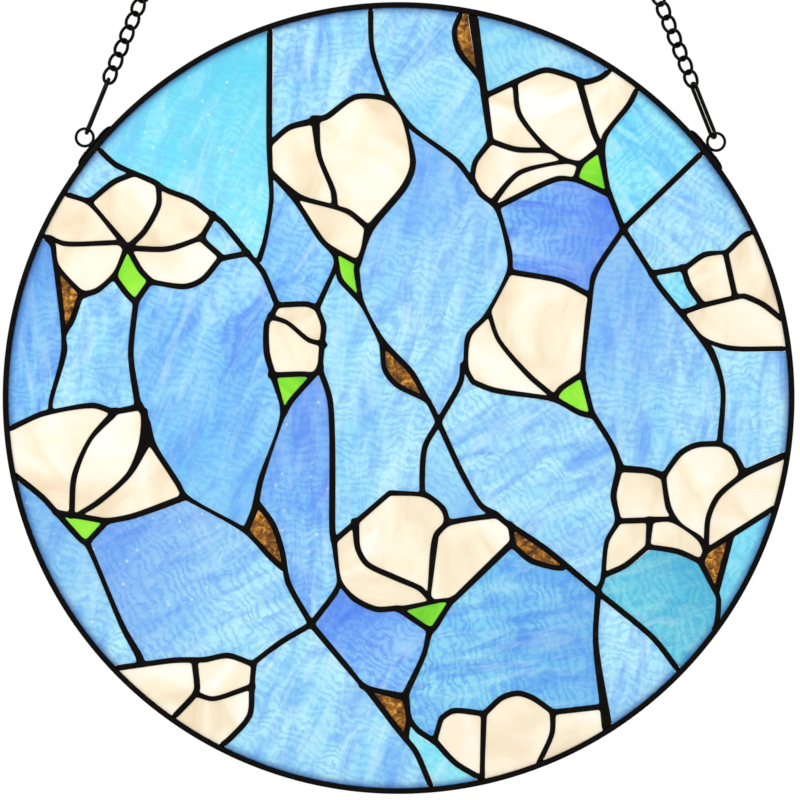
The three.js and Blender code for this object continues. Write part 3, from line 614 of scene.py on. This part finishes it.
# Each pane of the sky: a point in it, the angle of its streaks, its light, middle and deep colours, and how strong
# its streaks, its seeds (small bubbles) and its ripples are
SKY = [
    ((200, 120), 60, AQUA, 0.8, 0.5, 0), ((320, 60), 80, CYAN, 1, 0, 0), ((430, 100), 50, CYAN, 1, 0, 0),
    ((540, 45), 15, CYAN, 1, 0, 0), ((95, 175), 30, CYAN, 0.8, 0, 0), ((650, 150), -50, BRIGHT, 1, 0, 0),
    ((690, 215), -40, CYAN, 1, 0, 0), ((560, 230), -10, DEEP, 1.3, 0, 0), ((430, 260), 70, CYAN, 1.2, 0, 0),
    ((300, 260), 55, BLUE, 1, 0, 0), ((222, 240), 20, CYAN, 1, 0, 0), ((30, 340), 85, BLUE, 1, 0, 0),
    ((95, 350), 75, CYAN, 1, 0, 0), ((200, 380), 60, BLUE, 1, 0, 0), ((300, 480), 85, BLUE, 1, 0.5, 0),
    ((370, 430), 75, CYAN, 0.6, 0, 0), ((445, 490), 50, CYAN, 1, 0, 0), ((530, 460), 30, CYAN, 1.2, 0, 0),
    ((650, 370), 80, CYAN, 1.2, 0, 0), ((680, 290), 40, BRIGHT, 1, 0, 0), ((760, 400), 85, CYAN, 1, 0, 0),
    ((745, 560), -45, BRIGHT, 1, 0, 0), ((665, 600), 10, TEAL, 1, 0, 0.5), ((630, 680), 70, CYAN, 1, 0, 0),
    ((530, 630), 5, LAKE, 1.1, 0, 0.5), ((370, 640), 50, DEEP, 1.2, 0, 0), ((310, 730), 60, CYAN, 1, 0, 0),
    ((190, 590), 25, CYAN, 0.8, 0.6, 0.2), ((75, 600), 65, CYAN, 0.8, 0.6, 0), ((440, 770), 45, AQUA, 0.6, 0, 0),
]
LEAVES = [(467, 42), (69, 303), (404, 375), (265, 538), (535, 552), (715, 562), (392, 708)]

# Each flower's petals and calyx: a point in each, and how white its petals are
FLOWERS = {
    "flower_top_left": ([(80, 222), (128, 210), (180, 220), (175, 265), (90, 265)], (132, 278), 0.3),
    "flower_top": ([(300, 160), (365, 150), (335, 228)], (346, 275), 0.3),
    "flower_top_right": ([(502, 120), (553, 110), (608, 100), (500, 170), (535, 178)], (592, 176), 0.6),
    "flower_upper_right": ([(707, 280), (755, 270), (740, 322)], None, 0.2),
    "flower_right": ([(540, 330), (490, 360)], (575, 398), 0.35),
    "flower_left": ([(45, 455), (110, 460), (140, 485)], (82, 527), 0.3),
    "flower_lower": ([(375, 592), (400, 540), (465, 555)], (428, 613), 0.6),
    "flower_lower_right": ([(640, 495), (695, 490), (740, 505), (625, 545), (675, 537)], None, 0.3),
    "flower_bottom": ([(460, 745), (515, 735), (575, 725)], None, 0.3),
    "flower_lower_left": ([(155, 685), (225, 675), (215, 715)], None, 0.5),
    "bud": ([(300, 318), (295, 355)], (289, 385), 0.2),
}


def add_pane(name, at, material, node):
    outline = thinned(inset(smoothed(cell_at(*at)), PANE_GAP), PANE_OFF)
    add_piece(name, pane_mesh(name, outline), material, [node], smooth=False)


for i, (at, angle, (light, middle, deep), streaks, seeds, ripples) in enumerate(SKY):
    name = f"sky_pane_{i + 1:02d}"
    glass = sky_glass(f"sky_glass_{i + 1:02d}", i + 1, angle, light, middle, deep, streaks, seeds, ripples,
                      FADES.get(i + 1))
    add_pane(name + "_glass", at, glass, name)
for i, at in enumerate(LEAVES):
    add_pane(f"leaf_{i + 1}_glass", at, leaf_glass(f"leaf_glass_{i + 1}", i + 1), f"leaf_{i + 1}")
for number, (name, (petals, calyx, white)) in enumerate(FLOWERS.items()):
    for k, at in enumerate(petals):
        glass = petal_glass(f"{name}_petal_{k + 1}_glass", number * 5 + k + 1, white)
        add_pane(f"{name}_petal_{k + 1}", at, glass, name)
    if calyx:
        glass = calyx_glass(f"{name}_calyx_glass", number + 1)
        add_pane(f"{name}_calyx", calyx, glass, name)
add_piece("solder_beads", solder_mesh(), SOLDER, ["solder_network"])


# Came: a U channel with rounded edges, turned about the panel's middle
def came_mesh():
    half, wall, lip = 0.0029, 0.001, 0.0011
    inner, rim, sides = 0.25035, PANEL_RADIUS, 360
    r = 0.0007
    profile = []

    def rounded(x, y, radius, first):
        for k in range(4):
            turn = math.radians(first + 30 * k)
            profile.append((x + radius * math.cos(turn), y + radius * math.sin(turn)))

    rounded(rim - r, half - r, r, 0)
    rounded(inner + r / 2, half - r / 2, r / 2, 90)
    profile += [(inner, half - lip), (rim - wall, half - lip), (rim - wall, -half + lip), (inner, -half + lip)]
    rounded(inner + r / 2, -half + r / 2, r / 2, 180)
    rounded(rim - r, -half + r, r, 270)
    count = len(profile)
    verts = []
    for i in range(sides):
        turn = 2 * math.pi * i / sides
        verts += [(x * math.cos(turn), y, CENTRE_Z + x * math.sin(turn)) for x, y in profile]
    faces = []
    for i in range(sides):
        for k in range(count):
            a, b = i * count + k, i * count + (k + 1) % count
            c, d = (i + 1) % sides * count + (k + 1) % count, (i + 1) % sides * count + k
            faces.append((a, d, c, b))
    mesh = bpy.data.meshes.new("came")
    mesh.from_pydata(verts, [], faces)
    return mesh


def outward_normals(mesh):
    work = bmesh.new()
    work.from_mesh(mesh)
    bmesh.ops.recalc_face_normals(work, faces=work.faces)
    work.to_mesh(mesh)
    work.free()
    return mesh


add_piece("came", outward_normals(came_mesh()), CAME, ["border_came"])


# Round wire, closed on itself
def wire_mesh(name, loops, radius):
    sides = 12
    verts, faces = [], []
    for points in loops:
        base, count = len(verts), len(points)
        middle = sum(points, Vector()) / count
        for i, at in enumerate(points):
            along = (points[(i + 1) % count] - points[i - 1]).normalized()
            out = at - middle
            out = (out - along * out.dot(along)).normalized()
            across = along.cross(out)
            for k in range(sides):
                turn = 2 * math.pi * k / sides
                verts.append(at + out * radius * math.cos(turn) + across * radius * math.sin(turn))
        for i in range(count):
            for k in range(sides):
                here, there = base + i * sides, base + (i + 1) % count * sides
                beside = (k + 1) % sides
                faces.append((here + k, here + beside, there + beside, there + k))
    mesh = bpy.data.meshes.new(name)
    mesh.from_pydata(verts, [], faces)
    return outward_normals(mesh)


# Wires, and the rings, loops and links bent from them. The loops are shown a little stouter than they are
CLEARANCE = 0.0003
RING_WIRE, LOOP_WIRE, LINK_WIRE = 0.0019, 0.002, 0.00215
LOOP_SHOWN = 0.00248
RING_WIDTH = 0.0131
RING_SEAT = 0.0008
LOOP_LENGTH, LOOP_FOOT_WIDTH, LOOP_HEAD_WIDTH = 0.0393, 0.0076, 0.0074
LINK_LENGTH, LINK_WIDTH, LINKS = 0.0135, 0.0097, 8
LINK_TWIST = 0.00145
LINK_SLACK = 0.00025
END_LINK_LENGTH, END_LINK_WIDTH = 0.0165, 0.0126


def ring_points():
    turns = [2 * math.pi * i / 48 for i in range(48)]
    return [Vector((ring_radius * math.cos(t), 0, ring_radius * math.sin(t))) for t in turns]


def link_points(length, width):
    turns = [2 * math.pi * i / 40 for i in range(40)]
    across, along = (width - LINK_WIRE) / 2, (length - LINK_WIRE) / 2
    return [Vector((across * math.cos(t), -LINK_TWIST * math.sin(2 * t), along * math.sin(t))) for t in turns]


def loop_points():
    half, foot, head = ((v - LOOP_WIRE) / 2 for v in (LOOP_LENGTH, LOOP_FOOT_WIDTH, LOOP_HEAD_WIDTH))

    def end(radius, middle, first):
        turns = [first + math.pi * i / 12 for i in range(13)]
        return [Vector((radius * math.cos(t), 0, middle + radius * math.sin(t))) for t in turns]

    def side(a, b):
        return [a.lerp(b, i / 8) for i in range(1, 8)]

    top, bottom = end(head, half - head, 0), end(foot, foot - half, math.pi)
    return top + side(top[-1], bottom[0]) + bottom + side(bottom[-1], top[0])


def placed(points, matrix):
    return [matrix @ p for p in points]


# How far each part of a hanging is along the line of its chain, from the ring's middle
ring_radius = (RING_WIDTH - RING_WIRE) / 2
ring_reach = PANEL_RADIUS + CLEARANCE + RING_SEAT + CLEARANCE + RING_WIDTH / 2
loop_foot = ring_radius - (RING_WIRE + LOOP_WIRE) / 2 - 2 * CLEARANCE
loop_head = loop_foot + LOOP_LENGTH - LOOP_WIRE
first_link = loop_head - (LOOP_WIRE + LINK_WIRE) / 2 - 2 * CLEARANCE + (LINK_LENGTH - LINK_WIRE) / 2
pitch = LINK_LENGTH - 2 * LINK_WIRE + LINK_SLACK
last_link = first_link + (LINKS - 1) * pitch
end_link = (last_link + (LINK_LENGTH - LINK_WIRE) / 2 - LINK_WIRE - 2 * CLEARANCE
            + (END_LINK_LENGTH - LINK_WIRE) / 2)

# A solder strip: half its length, its height (which is also half its width), half the length of the notch that
# the ring sits in, and the notch's floor
STRIP_HALF = 0.016
STRIP_HEIGHT = 0.0022
STRIP_NOTCH = 0.0066
NOTCH_FLOOR = 0.0007


def strip_mesh(name, turn, seed):
    """A bent strip of solder along the rim, thick in the middle and uneven at its ends, notched round the ring."""
    rng = random.Random(seed)
    steps, sides = 48, 14
    half = STRIP_HALF / PANEL_RADIUS
    verts, faces = [], []
    for i in range(steps + 1):
        k = -1 + 2 * i / steps
        lump = 1 - 0.25 * rng.random() * (abs(k) > 0.3)
        body = max(0.12, (1 - abs(k) ** 6)) ** 0.5 * (0.86 + 0.14 * lump)
        near = abs(k * STRIP_HALF) < STRIP_NOTCH
        high = STRIP_HEIGHT * body
        at = turn + half * k
        for j in range(sides):
            s = 2 * math.pi * j / sides
            out = PANEL_RADIUS + CLEARANCE * 0.3 + high / 2 + high / 2 * math.cos(s)
            if near and abs(math.sin(s)) < 0.5 and math.cos(s) > 0:
                out = min(out, PANEL_RADIUS + CLEARANCE + NOTCH_FLOOR)
            across = high * math.sin(s)
            verts.append((out * math.cos(at), across, CENTRE_Z + out * math.sin(at)))
    for i in range(steps):
        for j in range(sides):
            beside = (j + 1) % sides
            faces.append((i * sides + j, i * sides + beside, (i + 1) * sides + beside, (i + 1) * sides + j))
    faces += [tuple(range(sides)), tuple(steps * sides + j for j in range(sides))]
    mesh = bpy.data.meshes.new(name)
    mesh.from_pydata(verts, [], faces)
    return outward_normals(mesh)


def add_wire(name, loops, wire, node):
    add_piece(name, wire_mesh(name, loops, wire / 2), IRON, [node])


# Each hanging: its side, its sign in x, its ring's place round the rim, its chain's lean and its loop's turn
HANGINGS = (("left", -1, 50.3, 22.3, -76), ("right", 1, 51.1, 21.8, -68))
for side, sign, ring_angle, lean, loop_turn in HANGINGS:
    angle = math.radians(ring_angle)
    base = Vector((sign * math.sin(angle) * ring_reach, 0, CENTRE_Z + math.cos(angle) * ring_reach))
    line = Matrix.Translation(base) @ Matrix.Rotation(-sign * math.radians(lean), 4, "Y")

    def up(distance):
        return line @ Matrix.Translation((0, 0, distance))

    add_wire(f"ring_{side}", [placed(ring_points(), line)], RING_WIRE, f"hanging_ring_{side}")
    turned_loop = up((loop_foot + loop_head) / 2) @ Matrix.Rotation(math.radians(loop_turn), 4, "Z")
    add_wire(f"loop_{side}", [placed(loop_points(), turned_loop)], LOOP_SHOWN, f"wire_loop_{side}")
    links = [placed(link_points(LINK_LENGTH, LINK_WIDTH), up(first_link + i * pitch)) for i in range(LINKS)]
    add_wire(f"links_{side}", links, LINK_WIRE, f"chain_{side}")
    top = placed(link_points(END_LINK_LENGTH, END_LINK_WIDTH), up(end_link))
    add_wire(f"top_link_{side}", [top], LINK_WIRE, f"end_link_{side}")
    strip = strip_mesh(f"strip_{side}", math.pi / 2 - sign * angle, 3 + sign)
    add_piece(f"strip_{side}", strip, SOLDER, [f"solder_strip_{side}"])


# Floor
FLOOR_HALF, FLOOR_Z = 1.5, -0.9
corners = [(x * FLOOR_HALF, y * FLOOR_HALF, FLOOR_Z) for x, y in ((-1, -1), (1, -1), (1, 1), (-1, 1))]
floor_mesh = bpy.data.meshes.new("floor")
floor_mesh.from_pydata(corners, [], [(0, 1, 2, 3)])
floor = bpy.data.objects.new("floor", floor_mesh)
bpy.context.scene.collection.objects.link(floor)
floor_material, _, _, floor_shader = new_material("pale_floor")
floor_shader.inputs["Base Color"].default_value = (0.86, 0.86, 0.86, 1)
floor_shader.inputs["Roughness"].default_value = 0.7
floor_mesh.materials.append(floor_material)

bpy.context.view_layer.update()
